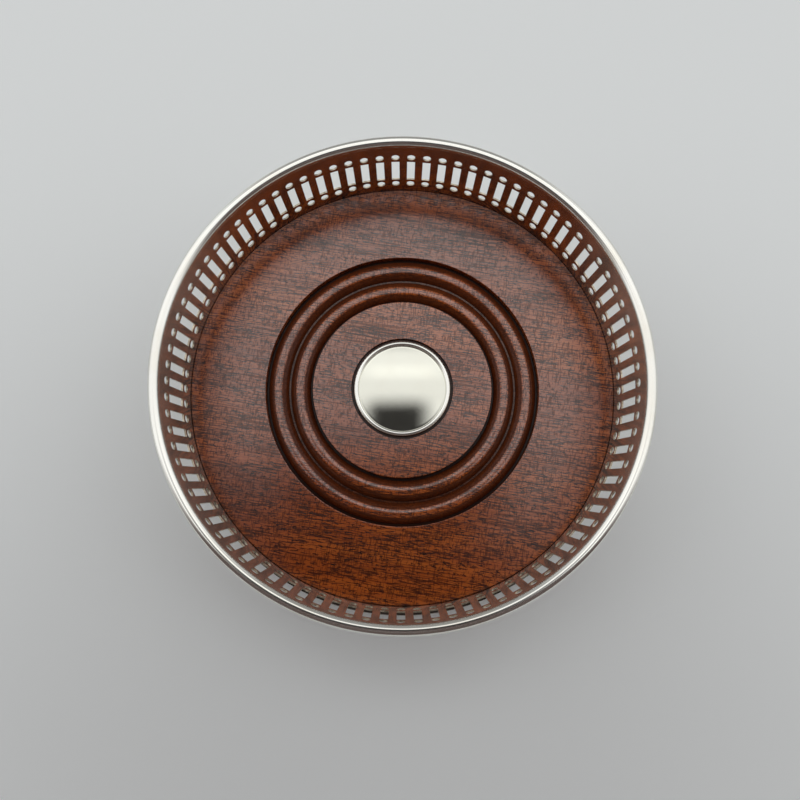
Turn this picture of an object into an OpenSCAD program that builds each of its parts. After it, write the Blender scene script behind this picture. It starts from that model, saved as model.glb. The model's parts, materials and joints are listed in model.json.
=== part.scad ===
// Wine bottle coaster: turned wooden base in a flared, pierced silver gallery.
// Millimetres, +Z up. The origin is on the table, at the middle of the baize.

/* [Gallery] */
// Inner radius of the gallery at the level of the wooden field
well_r = 60; // [50:0.5:75]
// Outward lean of the gallery from the vertical, in degrees
flare_deg = 8; // [0:0.5:12]
// Thickness of the silver sheet
sheet_t = 0.45; // [0.4:0.05:0.9]
// Plain band between the wooden field and the lowest holes
lower_band = 2.3; // [1.5:0.1:6]
// Plain band between the highest holes and the seat of the rim wire
upper_band = 4.1; // [2.5:0.05:8]

/* [Piercing] */
// Number of piercings round the gallery
pierce_n = 89; // [40:1:96]
// Width of a slot
slot_w = 2.2; // [1.2:0.1:2.4]
// Height of a slot
slot_h = 8.3; // [4:0.1:14]
// Diameter of the round hole above and below each slot
dot_d = 2.2; // [1.2:0.1:2.4]
// Metal left between a slot and its round holes
dot_gap = 0.85; // [0.5:0.05:2]
// Turn of the first piercing from +X, in degrees
pierce_start_deg = -1.3; // [-4:0.1:4]

/* [Rim wire] */
// Diameter of the rim wire
wire_d = 3; // [2.6:0.1:4]
// Width of the flat filed on its underside
wire_flat_w = 1.9; // [1.6:0.1:2.2]
// How far the middle of the wire lies outside the middle of the sheet
wire_out = 0.3; // [0:0.05:0.3]

/* [Foot ring] */
// How far the ring stands out from the gallery
foot_reach = 3.65; // [2.5:0.05:8]
// How far the ring reaches in under the base
foot_ledge = 2.4; // [1.5:0.1:5]
// Thickness of the ring
foot_t = 2.4; // [1.4:0.1:4]
// Height of its underside above the table
foot_lift = 0.6; // [0.3:0.1:0.9]
// Rounding of its outer corners
foot_edge = 0.3; // [0.1:0.05:0.6]

/* [Base] */
// Thickness of the base from its underside to the field
base_t = 8; // [7.5:0.5:14]
// Bevel at the edge of the field
edge_bevel = 0.2; // [0.1:0.1:1]
// Clearance between the base and the silver round it
base_fit = 0.1; // [0.05:0.05:0.3]
// Radius of the inner field, where the turned rings begin
inner_field_r = 25.4; // [20:0.1:30]
// Depth of the turned rings below the field
ring_depth = 2; // [1:0.1:2.5]
// Width of the narrow quirk on either side of the rings
quirk_w = 0.7; // [0.4:0.1:1.5]
// Width of a bead
bead_w = 5.75; // [5.2:0.05:7]
// Width of the flat between the two beads
valley_w = 0.5; // [0.3:0.1:1.5]
// How far the crest of a bead stays below the field
crest_drop = 0.1; // [0:0.05:0.5]

/* [Boss] */
// Diameter of the boss over its border wire
boss_d = 27.4; // [22:0.1:34]
// Thickness of the boss plate
plate_t = 0.7; // [0.5:0.1:0.8]
// Rise of the dome
dome_rise = 1.2; // [0.8:0.1:2.5]
// Width of the border wire
bezel_w = 1.4; // [1:0.1:2]
// Height of the border wire
bezel_h = 0.9; // [0.6:0.1:1.2]
// Fine groove between the border wire and the dome
bezel_gap = 0.15; // [0.1:0.05:0.4]
// Depth of the recess in the base
recess_depth = 0.9; // [0.7:0.1:1.5]
// Gap round the boss in its recess
recess_gap = 0.75; // [0.2:0.05:1]

/* [Boss fixing] */
// Diameter of the stud
stud_d = 4; // [3:0.5:5]
// Diameter of the stud's head inside the dome
stud_head_d = 8; // [6:0.5:12]
// Clearance round the stud in the base and in the washer
stud_fit = 0.2; // [0.1:0.05:0.4]
// Outer diameter of the washer
washer_d = 9; // [8:0.5:11]
// Thickness of the washer
washer_t = 0.8; // [0.5:0.1:1.2]
// Width of the nut across its flats
nut_af = 7; // [6.5:0.1:8]
// Thickness of the nut
nut_t = 2.2; // [1.8:0.1:2.6]
// Length of stud that shows under the nut
stud_show = 0.3; // [0.2:0.1:0.6]
// Room between the stud and the baize
stud_room = 0.3; // [0.2:0.1:0.6]
// Room round the washer for a socket
pocket_gap = 1.5; // [1:0.1:3]

/* [Gallery pins] */
// Number of pins round the gallery
pin_n = 6; // [4:1:12]
// Diameter of a pin
pin_d = 1.2; // [0.8:0.1:1.6]
// Length of a pin in the wood
pin_l = 6; // [4:0.5:10]
// Diameter of a pin's head
pin_head_d = 2.2; // [2:0.1:3]
// Height of a pin's head
pin_head_h = 0.5; // [0.3:0.1:0.8]
// Clearance round a pin
pin_fit = 0.05; // [0.02:0.01:0.1]

/* [Baize] */
// Thickness of the baize
baize_t = 1; // [1:0.1:2]
// Gap between the baize and the foot ring
baize_gap = 0.4; // [0.2:0.1:1]

/* [Hidden] */

// Smoothness of round faces
$fn = 96;
// Length by which a cut runs past the faces it opens
overrun = 1;
// Gap filled by solder
solder = 0.05;

// Levels, from the table up
field_z = baize_t + base_t;
shoulder_z = foot_lift + foot_t;
dot_low_z = field_z + lower_band + dot_d / 2;
slot_z = dot_low_z + dot_d / 2 + dot_gap + slot_h / 2;
dot_high_z = slot_z + slot_h / 2 + dot_gap + dot_d / 2;
seat_z = dot_high_z + dot_d / 2 + upper_band;
pin_z = (shoulder_z + field_z) / 2;

// Gallery: the wall's inner radius at a height, and its thickness measured level
function wall_r(z) = well_r + (z - field_z) * tan(flare_deg);
wall_t = sheet_t / cos(flare_deg);
pierce_pitch_deg = 360 / pierce_n;

// Rim wire: its flat sits on the gallery's top edge
wire_r = wall_r(seat_z) + wall_t / 2 + wire_out;
wire_z = seat_z + sqrt(pow(wire_d / 2, 2) - pow(wire_flat_w / 2, 2));

// Foot ring
foot_r = wall_r(shoulder_z) + wall_t + foot_reach;
foot_in_r = wall_r(shoulder_z) - foot_ledge;

// Turned rings: each bead is an arc over its width and height
ring_out_r = inner_field_r + 2 * quirk_w + 2 * bead_w + valley_w;
bead_h = ring_depth - crest_drop;
bead_in_r = inner_field_r + quirk_w + bead_w / 2;
bead_rs = [bead_in_r, bead_in_r + bead_w + valley_w];
bead_sink = ring_depth / 2;

// Boss
boss_r = boss_d / 2;
recess_r = boss_r + recess_gap;
recess_z = field_z - recess_depth;
flange_z = recess_z + plate_t;
dome_r = boss_r - bezel_w - bezel_gap;
dome_arc_r = arc_r(2 * dome_r, dome_rise);
dome_z = flange_z + dome_rise - dome_arc_r;

// Boss fixing, from the ceiling of the pocket down
pocket_r = washer_d / 2 + pocket_gap;
pocket_z = baize_t + stud_room + stud_show + nut_t + washer_t;
washer_z = pocket_z - washer_t;
nut_z = washer_z - nut_t;
stud_z = nut_z - stud_show;

// Pins: the head is a cap of a sphere
pin_head_arc_r = arc_r(pin_head_d, pin_head_h);

silver = [0.90, 0.89, 0.86];
mahogany = [0.36, 0.17, 0.09];
brass = [0.75, 0.60, 0.32];
baize_green = [0.10, 0.30, 0.18];

// Radius of the arc that spans a width and rises by a height
function arc_r(width, rise) = (pow(width / 2, 2) + pow(rise, 2)) / (2 * rise);

// Children placed on the wall at a turn and a height, with +Z along the outward normal
module on_wall(turn, z) {
    rotate([0, 0, turn])
        translate([wall_r(z) + wall_t / 2, 0, z])
            rotate([0, 90 + flare_deg, 0])
                children();
}

// Children at each piercing, at a height
module each_piercing(z) {
    for (i = [0 : pierce_n - 1])
        on_wall(pierce_start_deg + i * pierce_pitch_deg, z)
            children();
}

// Children at each pin
module each_pin() {
    for (i = [0 : pin_n - 1])
        on_wall(i * 360 / pin_n, pin_z)
            children();
}

// Ring of square section between two radii and two levels
module square_ring(in_r, out_r, low_z, high_z) {
    rotate_extrude()
        translate([in_r, low_z])
            square([out_r - in_r, high_z - low_z]);
}

// Half-round ring of a width and a rise above its seat, sunk below the seat by a depth
module half_round_ring(mid_r, seat_z, width, rise, sink) {
    rotate_extrude()
        translate([mid_r, seat_z])
            intersection() {
                translate([0, rise - arc_r(width, rise)])
                    circle(arc_r(width, rise));
                translate([-width, -sink])
                    square([2 * width, rise + sink]);
            }
}

// Clearance hole for each pin, through the wall and into the wood
module pin_holes() {
    each_pin()
        translate([0, 0, -pin_l - overrun])
            cylinder(h = pin_l + sheet_t + 2 * overrun, d = pin_d + 2 * pin_fit);
}

// Body of the base before its rings and holes: spigot, shoulder, tapered edge and bevel
module base_blank() {
    spigot_r = foot_in_r - base_fit;
    edge_z = field_z - edge_bevel;
    edge_low_r = wall_r(shoulder_z) - base_fit;
    edge_high_r = wall_r(edge_z) - base_fit;
    rotate_extrude()
        polygon([
            [0, baize_t],
            [spigot_r, baize_t],
            [spigot_r, shoulder_z],
            [edge_low_r, shoulder_z],
            [edge_high_r, edge_z],
            [edge_high_r - edge_bevel, field_z],
            [0, field_z]
        ]);
}

module base() {
    color(mahogany)
    difference() {
        union() {
            difference() {
                base_blank();
                square_ring(inner_field_r, ring_out_r, field_z - ring_depth, field_z + overrun);
            }
            for (r = bead_rs)
                half_round_ring(r, field_z - ring_depth, bead_w, bead_h, bead_sink);
        }
        translate([0, 0, recess_z])
            cylinder(h = recess_depth + overrun, r = recess_r);
        cylinder(h = field_z, d = stud_d + 2 * stud_fit);
        cylinder(h = pocket_z, r = pocket_r);
        pin_holes();
    }
}

// Slots and round holes of the gallery
module piercings() {
    depth = wall_t + 2 * overrun;
    slot_l = slot_h / cos(flare_deg);
    each_piercing(slot_z)
        cube([slot_l, slot_w, depth], center = true);
    for (z = [dot_low_z, dot_high_z])
        each_piercing(z)
            cylinder(h = depth, d = dot_d, center = true);
}

module gallery() {
    color(silver)
    difference() {
        rotate_extrude()
            polygon([
                [wall_r(shoulder_z), shoulder_z],
                [wall_r(shoulder_z) + wall_t, shoulder_z],
                [wall_r(seat_z) + wall_t, seat_z],
                [wall_r(seat_z), seat_z]
            ]);
        piercings();
        pin_holes();
    }
}

module rim_wire() {
    color(silver)
    rotate_extrude()
        translate([wire_r, wire_z])
            difference() {
                circle(d = wire_d);
                translate([-wire_d / 2, -wire_d])
                    square([wire_d, wire_d - (wire_z - seat_z)]);
            }
}

module foot_ring() {
    low_z = foot_lift + foot_edge;
    high_z = shoulder_z - foot_edge;
    color(silver)
    union() {
        square_ring(foot_in_r, foot_r - foot_edge, foot_lift, shoulder_z);
        square_ring(foot_in_r, foot_r, low_z, high_z);
        for (z = [low_z, high_z])
            rotate_extrude()
                translate([foot_r - foot_edge, z])
                    circle(foot_edge);
    }
}

// Spherical cap standing on the flange of the boss
module dome_cap() {
    intersection() {
        translate([0, 0, dome_z])
            sphere(dome_arc_r);
        translate([0, 0, recess_z])
            cylinder(h = plate_t + dome_rise + overrun, r = dome_r);
    }
}

module boss_plate() {
    color(silver)
    difference() {
        union() {
            translate([0, 0, recess_z])
                cylinder(h = plate_t, r = boss_r);
            dome_cap();
        }
        translate([0, 0, dome_z])
            sphere(dome_arc_r - plate_t);
    }
}

module boss_bezel() {
    color(silver)
    half_round_ring(boss_r - bezel_w / 2, flange_z, bezel_w, bezel_h, 0);
}

module boss_stud() {
    color(brass)
    union() {
        intersection() {
            translate([0, 0, recess_z + solder])
                cylinder(h = dome_rise, d = stud_head_d);
            translate([0, 0, dome_z])
                sphere(dome_arc_r - plate_t - solder);
        }
        translate([0, 0, stud_z])
            cylinder(h = recess_z + 2 * solder - stud_z, d = stud_d);
    }
}

module boss_washer() {
    color(brass)
    translate([0, 0, washer_z])
        difference() {
            cylinder(h = washer_t, d = washer_d);
            translate([0, 0, -overrun])
                cylinder(h = washer_t + 2 * overrun, d = stud_d + 2 * stud_fit);
        }
}

module boss_nut() {
    color(brass)
    translate([0, 0, nut_z])
        difference() {
            cylinder(h = nut_t, d = nut_af / cos(30), $fn = 6);
            translate([0, 0, -overrun])
                cylinder(h = nut_t + 2 * overrun, d = stud_d + 2 * solder);
        }
}

module gallery_pins() {
    color(silver)
    each_pin() {
        translate([0, 0, -pin_l])
            cylinder(h = pin_l + sheet_t, d = pin_d);
        translate([0, 0, sheet_t / 2 + solder])
            intersection() {
                translate([0, 0, pin_head_h - pin_head_arc_r])
                    sphere(pin_head_arc_r);
                cylinder(h = pin_head_h, d = pin_head_d);
            }
    }
}

module baize_pad() {
    color(baize_green)
    cylinder(h = baize_t, r = foot_in_r - baize_gap);
}

base();
gallery();
rim_wire();
foot_ring();
boss_plate();
boss_bezel();
boss_stud();
boss_washer();
boss_nut();
gallery_pins();
baize_pad();
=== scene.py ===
"""Looks of a wine bottle coaster: a turned mahogany base in a pierced silver gallery.

Every length in the classes is in millimetres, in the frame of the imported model.
The finished meshes are in metres.
"""

from __future__ import annotations

import json
import logging
import math
from collections.abc import Callable, Iterable, Sequence
from dataclasses import dataclass
from enum import Enum
from functools import partial, reduce
from typing import Any

import bmesh
import bpy
from mathutils import Matrix, Vector

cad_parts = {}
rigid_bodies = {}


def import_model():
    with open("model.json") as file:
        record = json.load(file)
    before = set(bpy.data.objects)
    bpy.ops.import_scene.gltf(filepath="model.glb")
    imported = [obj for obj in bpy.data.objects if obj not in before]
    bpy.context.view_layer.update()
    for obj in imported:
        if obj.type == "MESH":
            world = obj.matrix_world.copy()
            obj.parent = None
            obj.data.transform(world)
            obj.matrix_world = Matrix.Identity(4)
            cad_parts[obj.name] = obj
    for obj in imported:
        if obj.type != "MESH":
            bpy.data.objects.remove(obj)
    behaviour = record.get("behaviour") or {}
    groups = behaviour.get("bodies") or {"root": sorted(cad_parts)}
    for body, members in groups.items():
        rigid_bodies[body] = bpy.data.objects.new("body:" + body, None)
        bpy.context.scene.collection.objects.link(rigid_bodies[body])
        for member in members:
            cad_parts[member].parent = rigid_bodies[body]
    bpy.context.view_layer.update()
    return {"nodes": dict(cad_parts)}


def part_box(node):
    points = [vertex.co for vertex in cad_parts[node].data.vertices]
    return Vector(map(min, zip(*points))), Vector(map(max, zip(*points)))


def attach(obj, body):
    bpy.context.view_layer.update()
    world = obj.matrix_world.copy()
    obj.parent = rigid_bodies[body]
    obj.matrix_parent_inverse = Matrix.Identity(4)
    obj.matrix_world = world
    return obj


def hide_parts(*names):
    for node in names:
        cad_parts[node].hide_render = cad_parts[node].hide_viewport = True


LOG = logging.getLogger("coaster")

MM = 0.001
PER_METRE = 1000.0
BODY = "root"
POLE_R = 1e-6
MERGE_MM = 0.001
SHARP_DEG = 32.0
SUPPORT_MM = 0.02
SAWN = "sawn"

Point = tuple[float, float]
Triple = tuple[float, float, float]
Colour = tuple[float, float, float, float]
Hole = Callable[[float, float, float], Point]
Socket = bpy.types.NodeSocket
Material = bpy.types.Material
Piece = bpy.types.Object
Mesh = bmesh.types.BMesh
Vertex = bmesh.types.BMVert
Face = bmesh.types.BMFace


class Slot(Enum):
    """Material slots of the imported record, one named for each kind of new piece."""

    MAHOGANY = "mahogany"
    SILVER = "silver"
    BAIZE = "baize"


class Sheet(Enum):
    """How a sheet of cloth is held."""

    LAID = "laid"


# Profiles and meshes


@dataclass(frozen=True)
class Corner:
    """A corner of a turned profile, rounded by a small radius."""

    r: float
    z: float
    round: float = 0.0


def arc(centre: Point, radius: float, start_deg: float, end_deg: float, steps: int) -> list[Corner]:
    """Gives the points of an arc.

    Args:
        centre: Radius and height of the arc's centre.
        radius: Radius of the arc.
        start_deg: Angle of the first point, from the outward direction.
        end_deg: Angle of the last point.
        steps: Number of straight steps.

    Returns:
        The points, with no rounding.
    """
    points = []
    for i in range(steps + 1):
        turn = math.radians(start_deg + (end_deg - start_deg) * i / steps)
        points.append(Corner(centre[0] + radius * math.cos(turn), centre[1] + radius * math.sin(turn)))
    return points


def arc_radius(width: float, rise: float) -> float:
    """Radius of the arc that spans a width and rises by a height."""
    return ((width / 2) ** 2 + rise**2) / (2 * rise)


def rounded(corners: Sequence[Corner], steps: int = 4) -> list[Point]:
    """Rounds the corners of a closed profile.

    A point close to each end of a rounding keeps the shading of the flat beside it level.

    Args:
        corners: The corners, in order round the profile.
        steps: Number of straight steps in each rounding.

    Returns:
        Radius and height of each point.
    """
    points: list[Point] = []
    for i, corner in enumerate(corners):
        here = Vector((corner.r, corner.z))
        if corner.round == 0:
            points.append((corner.r, corner.z))
            continue
        before, after = corners[i - 1], corners[(i + 1) % len(corners)]
        back = (Vector((before.r, before.z)) - here).normalized()
        ahead = (Vector((after.r, after.z)) - here).normalized()
        half = back.angle(ahead) / 2
        centre = here + (back + ahead).normalized() * (corner.round / math.sin(half))
        reach = corner.round / math.tan(half)
        first, last = here + back * reach - centre, here + ahead * reach - centre
        points.append(tuple(here + back * (reach + SUPPORT_MM)))
        for k in range(steps + 1):
            spoke = first.lerp(last, k / steps).normalized() * corner.round
            points.append((centre.x + spoke.x, centre.y + spoke.y))
        points.append(tuple(here + ahead * (reach + SUPPORT_MM)))
    return points


def mesh_object(name: str, bm: Mesh, material: Material) -> Piece:
    """Makes a smooth shaded object from a mesh in millimetres.

    Args:
        name: Name of the object and its mesh.
        bm: The mesh, which is freed.
        material: Finish of every face.

    Returns:
        The object, at the origin, in the scene.
    """
    bmesh.ops.remove_doubles(bm, verts=bm.verts, dist=MERGE_MM)
    bmesh.ops.recalc_face_normals(bm, faces=bm.faces)
    bmesh.ops.scale(bm, vec=(MM, MM, MM), verts=bm.verts)
    mesh = bpy.data.meshes.new(name)
    bm.to_mesh(mesh)
    bm.free()
    mesh.materials.append(material)
    finish_shading(mesh)
    obj = bpy.data.objects.new(name, mesh)
    bpy.context.scene.collection.objects.link(obj)
    return obj


def finish_shading(mesh: bpy.types.Mesh) -> None:
    """Shades a mesh smooth, with its true edges kept sharp."""
    mesh.polygons.foreach_set("use_smooth", [True] * len(mesh.polygons))
    mesh.set_sharp_from_angle(angle=math.radians(SHARP_DEG))


def lathe(profile: Sequence[Point], segments: int, closed: bool = True) -> Mesh:
    """Turns a profile round the Z axis.

    Args:
        profile: Radius and height of each point; a point on the axis becomes a pole.
        segments: Number of steps round the axis.
        closed: Whether the last point joins the first.

    Returns:
        The mesh, in millimetres.
    """
    bm = bmesh.new()
    rings: list[list[Vertex]] = []
    turns = [math.tau * k / segments for k in range(segments)]
    for r, z in profile:
        if r < POLE_R:
            rings.append([bm.verts.new((0.0, 0.0, z))] * segments)
        else:
            rings.append([bm.verts.new((r * math.cos(t), r * math.sin(t), z)) for t in turns])
    pairs = list(zip(rings, rings[1:]))
    if closed:
        pairs.append((rings[-1], rings[0]))
    for low, high in pairs:
        join_rings(bm, low, high)
    return bm


def join_rings(bm: Mesh, low: Sequence[Vertex], high: Sequence[Vertex]) -> list[Face]:
    """Fills between two closed rings of the same count; a pole gives triangles.

    Args:
        bm: The mesh that gets the faces.
        low: The first ring.
        high: The second ring.

    Returns:
        The new faces.
    """
    faces = []
    count = len(low)
    for k in range(count):
        n = (k + 1) % count
        corners = [low[k], low[n], high[n], high[k]]
        kept = [v for i, v in enumerate(corners) if v not in corners[:i]]
        if len(kept) > 2:
            faces.append(bm.faces.new(kept))
    return faces


# Node trees


@dataclass(frozen=True)
class Noise:
    """Cloudy noise with its own waves per millimetre along X, Y and Z."""

    per_mm: Triple
    detail: float = 2.0
    roughness: float = 0.5
    distortion: float = 0.0


class Nodes:
    """Adds nodes to a tree; every input is a plain value or another node's output."""

    def __init__(self, tree: bpy.types.NodeTree) -> None:
        """Takes the tree that gets the nodes."""
        self.tree = tree

    def add(self, kind: str, inputs: dict[str | int, Any] | None = None, **settings: Any) -> bpy.types.Node:
        """Adds a node.

        Args:
            kind: The node's type.
            inputs: Value or output for each named or numbered input.
            settings: Properties of the node.

        Returns:
            The node.
        """
        node = self.tree.nodes.new(kind)
        for name, value in settings.items():
            setattr(node, name, value)
        self.fill(node, inputs or {})
        return node

    def fill(self, node: bpy.types.Node, inputs: dict[str | int, Any]) -> None:
        """Sets a node's inputs.

        Args:
            node: The node.
            inputs: Value or output for each named or numbered input.
        """
        for key, value in inputs.items():
            if isinstance(value, Socket):
                self.tree.links.new(value, node.inputs[key])
            else:
                node.inputs[key].default_value = value

    def math(self, operation: str, a: Any, b: Any = 0.0) -> Socket:
        """Combines two numbers by a named operation."""
        return self.add("ShaderNodeMath", {0: a, 1: b}, operation=operation).outputs[0]

    def plus(self, *values: Any) -> Socket:
        """Sum of numbers."""
        return reduce(partial(self.math, "ADD"), values)

    def minus(self, a: Any, b: Any) -> Socket:
        """Difference of two numbers."""
        return self.math("SUBTRACT", a, b)

    def times(self, *values: Any) -> Socket:
        """Product of numbers."""
        return reduce(partial(self.math, "MULTIPLY"), values)

    def most(self, *values: Any) -> Socket:
        """Largest of some numbers."""
        return reduce(partial(self.math, "MAXIMUM"), values)

    def apart(self, a: Any, b: float) -> Socket:
        """Distance between two numbers."""
        return self.math("ABSOLUTE", self.minus(a, b))

    def length(self, x: Any, y: Any) -> Socket:
        """Length of a level line from its two sides."""
        return self.math("SQRT", self.plus(self.math("POWER", x, 2.0), self.math("POWER", y, 2.0)))

    def mix(self, factor: Any, a: Any, b: Any, blend: str = "MIX") -> Socket:
        """Blends a share of the second colour into the first."""
        node = self.add("ShaderNodeMix", {0: factor, 6: a, 7: b}, data_type="RGBA", blend_type=blend)
        return node.outputs[2]

    def ease(self, value: Any, low: float, high: float, start: float = 0.0, end: float = 1.0) -> Socket:
        """Eases from start to end while a value goes from low to high."""
        inputs = {"Value": value, "From Min": low, "From Max": high, "To Min": start, "To Max": end}
        return self.add("ShaderNodeMapRange", inputs, interpolation_type="SMOOTHSTEP").outputs[0]

    def millimetres(self, turn_deg: float = 0.0) -> Socket:
        """Gives object coordinates in millimetres.

        Args:
            turn_deg: Their turn about Z.

        Returns:
            The coordinates.
        """
        place = self.add("ShaderNodeTexCoord").outputs["Object"]
        turn = (0.0, 0.0, math.radians(turn_deg))
        inputs = {"Vector": place, "Scale": (PER_METRE,) * 3, "Rotation": turn}
        return self.add("ShaderNodeMapping", inputs).outputs[0]

    def turned(self) -> tuple[Socket, Socket]:
        """Radius and height of a place, in millimetres."""
        x, y, z = self.add("ShaderNodeSeparateXYZ", {0: self.millimetres()}).outputs
        return self.length(x, y), z

    def noise(self, place: Socket, noise: Noise) -> Socket:
        """Makes noise.

        Args:
            place: Coordinates in millimetres.
            noise: The kind of noise.

        Returns:
            A value round 0.5.
        """
        fine = self.add("ShaderNodeVectorMath", {0: place, 1: noise.per_mm}, operation="MULTIPLY").outputs[0]
        inputs = {
            "Vector": fine,
            "Scale": 1.0,
            "Detail": noise.detail,
            "Roughness": noise.roughness,
            "Distortion": noise.distortion,
        }
        return self.add("ShaderNodeTexNoise", inputs).outputs[0]

    def bump(self, height: Any, depth_mm: float, strength: float = 1.0) -> Socket:
        """A normal from a height between 0 and 1 that stands for a depth."""
        inputs = {"Strength": strength, "Distance": depth_mm * MM, "Height": height}
        return self.add("ShaderNodeBump", inputs).outputs[0]


class RingArray:
    """Geometry Nodes tree that sets one shape many times round the Z axis."""

    def __init__(self) -> None:
        """Builds the tree with its named inputs."""
        self.tree = bpy.data.node_groups.new("ring_array", "GeometryNodeTree")
        face = self.tree.interface
        face.new_socket("Geometry", in_out="OUTPUT", socket_type="NodeSocketGeometry")
        kinds = {
            "Shape": "NodeSocketGeometry",
            "Count": "NodeSocketInt",
            "Start": "NodeSocketFloat",
            "Merge": "NodeSocketFloat",
            "Finish": "NodeSocketMaterial",
            "Edge Finish": "NodeSocketMaterial",
        }
        self.ids = {
            name: face.new_socket(name, in_out="INPUT", socket_type=kind).identifier
            for name, kind in kinds.items()
        }
        nodes = Nodes(self.tree)
        given = nodes.add("NodeGroupInput").outputs
        points = nodes.add("GeometryNodePoints", {"Count": given["Count"]}).outputs[0]
        step = nodes.math("DIVIDE", math.tau, given["Count"])
        index = nodes.add("GeometryNodeInputIndex").outputs[0]
        turn = nodes.plus(nodes.times(index, step), given["Start"])
        euler = nodes.add("ShaderNodeCombineXYZ", {"Z": turn}).outputs[0]
        rotation = nodes.add("FunctionNodeEulerToRotation", {0: euler}).outputs[0]
        inputs = {"Points": points, "Instance": given["Shape"], "Rotation": rotation}
        copies = nodes.add("GeometryNodeInstanceOnPoints", inputs).outputs[0]
        real = nodes.add("GeometryNodeRealizeInstances", {"Geometry": copies}).outputs[0]
        inputs = {"Geometry": real, "Distance": given["Merge"]}
        joined = nodes.add("GeometryNodeMergeByDistance", inputs).outputs[0]
        inputs = {"Geometry": joined, "Material": given["Finish"]}
        dressed = nodes.add("GeometryNodeSetMaterial", inputs).outputs[0]
        sawn = nodes.add("GeometryNodeInputNamedAttribute", {"Name": SAWN}, data_type="BOOLEAN")
        inputs = {
            "Geometry": dressed,
            "Selection": sawn.outputs["Attribute"],
            "Material": given["Edge Finish"],
        }
        edged = nodes.add("GeometryNodeSetMaterial", inputs).outputs[0]
        nodes.add("NodeGroupOutput", {0: edged})

    def apply(
        self, obj: Piece, count: int, start_deg: float, finish: Material, edge_finish: Material | None = None
    ) -> None:
        """Sets an object's mesh round the axis and makes the result its plain mesh.

        Args:
            obj: The object with one copy of the shape.
            count: Number of copies.
            start_deg: Turn of the first copy.
            finish: Finish of the faces.
            edge_finish: Finish of the faces marked as sawn, if there are any.
        """
        modifier = obj.modifiers.new("ring_array", "NODES")
        modifier.node_group = self.tree
        modifier[self.ids["Count"]] = count
        modifier[self.ids["Start"]] = math.radians(start_deg)
        modifier[self.ids["Merge"]] = MERGE_MM * MM
        modifier[self.ids["Finish"]] = finish
        modifier[self.ids["Edge Finish"]] = edge_finish or finish
        evaluated = obj.evaluated_get(bpy.context.evaluated_depsgraph_get())
        mesh = bpy.data.meshes.new_from_object(evaluated)
        obj.modifiers.clear()
        single, obj.data = obj.data, mesh
        bpy.data.meshes.remove(single)
        mesh.name = obj.name
        finish_shading(mesh)


# Finishes


def new_material(name: str) -> tuple[Material, Nodes, bpy.types.Node]:
    """Makes a material with one Principled shader.

    Args:
        name: Name of the material.

    Returns:
        The material, its nodes and its shader.
    """
    material = bpy.data.materials.new(name)
    material.use_nodes = True
    tree = material.node_tree
    return material, Nodes(tree), tree.nodes["Principled BSDF"]


@dataclass(frozen=True)
class SilverFinish:
    """Polished silver with faint wipe marks and a warm film in places."""

    name: str = "polished_silver"
    bright: Colour = (0.890, 0.885, 0.842, 1.0)
    film: Colour = (0.815, 0.770, 0.670, 1.0)
    film_share: float = 0.45
    film_cloud: Noise = Noise((0.06, 0.06, 0.10), 4.0, 0.55)
    film_span: Point = (0.46, 0.74)
    roughness: Point = (0.05, 0.13)
    wipe_degs: Point = (24.0, -57.0)
    wipes: tuple[Noise, Noise] = (Noise((0.10, 5.0, 5.0), 3.0, 0.6), Noise((0.12, 6.5, 6.5), 3.0, 0.6))
    wipe_span: Point = (0.85, 1.35)
    wipe_depth: float = 0.0006

    def material(self) -> Material:
        """Makes the finish.

        Returns:
            The material.
        """
        material, nodes, shader = new_material(self.name)
        turned = zip(self.wipe_degs, self.wipes)
        wipe = nodes.plus(*(nodes.noise(nodes.millimetres(deg), noise) for deg, noise in turned))
        look = {
            "Base Color": self.colour(nodes),
            "Roughness": nodes.ease(wipe, *self.wipe_span, *self.roughness),
            "Normal": nodes.bump(wipe, self.wipe_depth),
            "Metallic": 1.0,
        }
        nodes.fill(shader, look)
        return material

    def colour(self, nodes: Nodes) -> Socket:
        """Finds the colour of the metal under its film.

        Args:
            nodes: The material's nodes.

        Returns:
            The colour.
        """
        cloud = nodes.noise(nodes.millimetres(), self.film_cloud)
        film = nodes.ease(cloud, *self.film_span, 0.0, self.film_share)
        return nodes.mix(film, self.bright, self.film)


@dataclass(frozen=True, kw_only=True)
class FootFinish(SilverFinish):
    """Polished silver, darker on its flat top."""

    flat_z: float
    flat_r: float
    name: str = "foot_silver"
    # Darker colour of the flat top, inside its bevel.
    flat_dark: Colour = (0.165, 0.150, 0.130, 1.0)
    flat_dark_drops: Point = (0.06, 0.02)
    flat_dark_gaps: Point = (0.01, 0.09)

    def colour(self, nodes: Nodes) -> Socket:
        """Finds the colour of the metal, darker on its flat top.

        Args:
            nodes: The material's nodes.

        Returns:
            The colour.
        """
        r, z = nodes.turned()
        level = nodes.ease(z, *(self.flat_z - drop for drop in self.flat_dark_drops))
        within = nodes.ease(r, *(self.flat_r - gap for gap in self.flat_dark_gaps))
        return nodes.mix(nodes.times(level, within), super().colour(nodes), self.flat_dark)


SATIN_SILVER = SilverFinish(
    "satin_silver", (0.68, 0.635, 0.575, 1.0), (0.56, 0.49, 0.41, 1.0), roughness=(0.12, 0.20)
)
RIM_SILVER = SilverFinish("rim_silver", roughness=(0.10, 0.16))
WORN_SILVER = SilverFinish(
    "worn_silver", (0.78, 0.78, 0.70, 1.0), (0.72, 0.70, 0.61, 1.0), roughness=(0.07, 0.16)
)


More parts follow.
